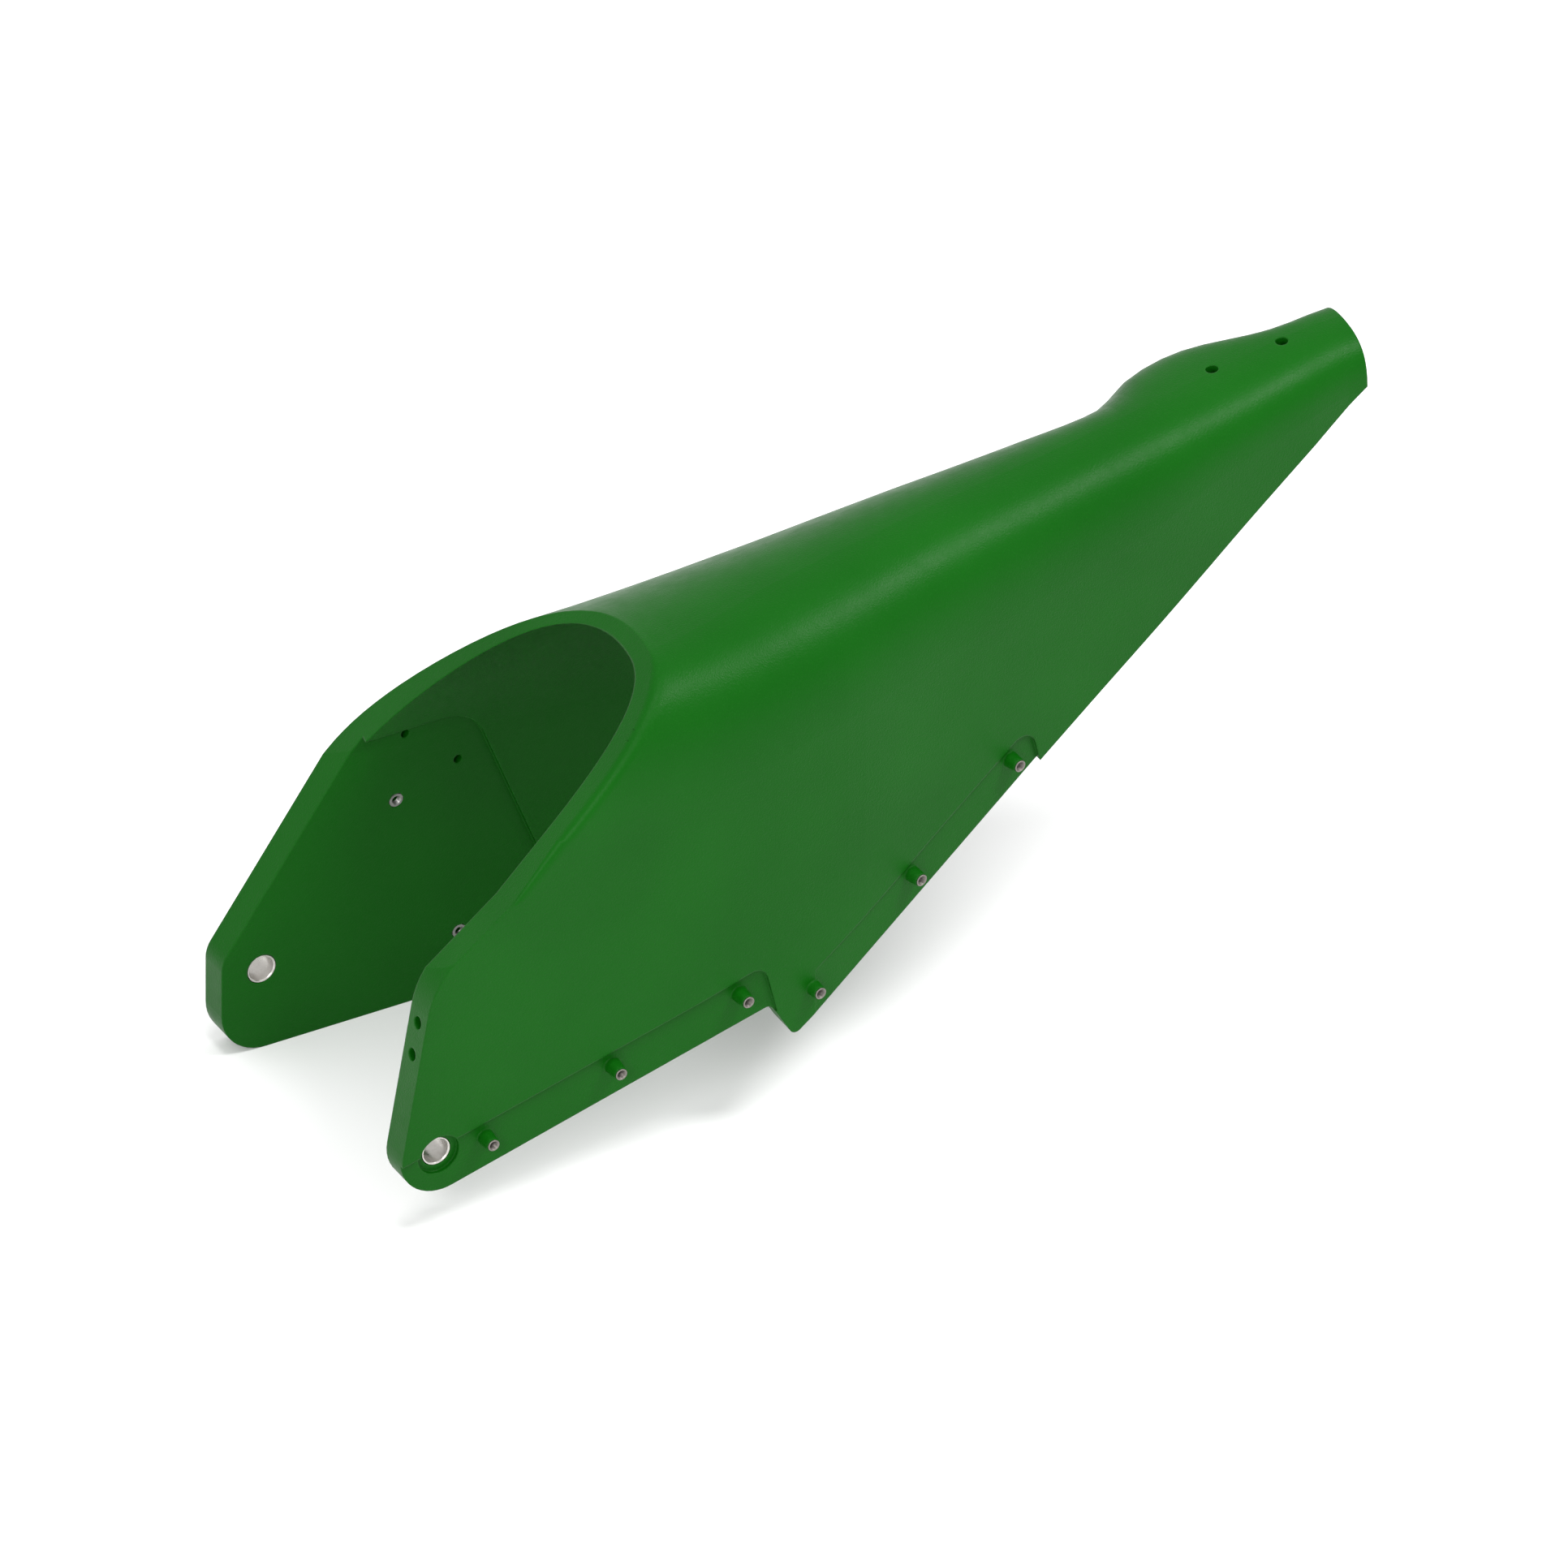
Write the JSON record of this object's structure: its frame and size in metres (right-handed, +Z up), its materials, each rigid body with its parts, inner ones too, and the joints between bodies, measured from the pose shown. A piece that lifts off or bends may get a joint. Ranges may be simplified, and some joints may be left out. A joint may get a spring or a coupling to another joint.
{
  "type": "fork arm housing",
  "caption": "Hollow moulded fork arm that straddles a pivot and narrows to a raised tail, with bushed cheeks, a sloping oval mouth and threaded studs along its lower edges.",
  "frame": {"origin": "middle of the pivot axis, half way between the two cheeks", "axes": "+X from the pivot towards the tail, +Y along the pivot axis to the side with the deep cheek, +Z up"},
  "size_m": [0.4281, 0.159, 0.232],
  "materials": {
    "molded_shell": "fine-grained moulded green",
    "bush_steel": "satin",
    "insert_brass": "dull nickel plate",
    "nut_steel": "zinc plate"
  },
  "bodies": {
    "root": {"housing": "molded_shell", "pivot_bush_near": "bush_steel", "pivot_bush_far": "bush_steel", "insert_near_front_1": "insert_brass", "insert_near_front_2": "insert_brass", "insert_near_front_3": "insert_brass", "insert_far_front_1": "insert_brass", "insert_far_front_2": "insert_brass", "insert_near_rear_1": "insert_brass", "insert_near_rear_2": "insert_brass", "insert_near_rear_3": "insert_brass", "insert_far_rear_1": "insert_brass", "insert_far_rear_2": "insert_brass", "insert_far_rear_3": "insert_brass", "cheek_nut_1": "nut_steel", "cheek_nut_2": "nut_steel"}
  },
  "joints": []
}
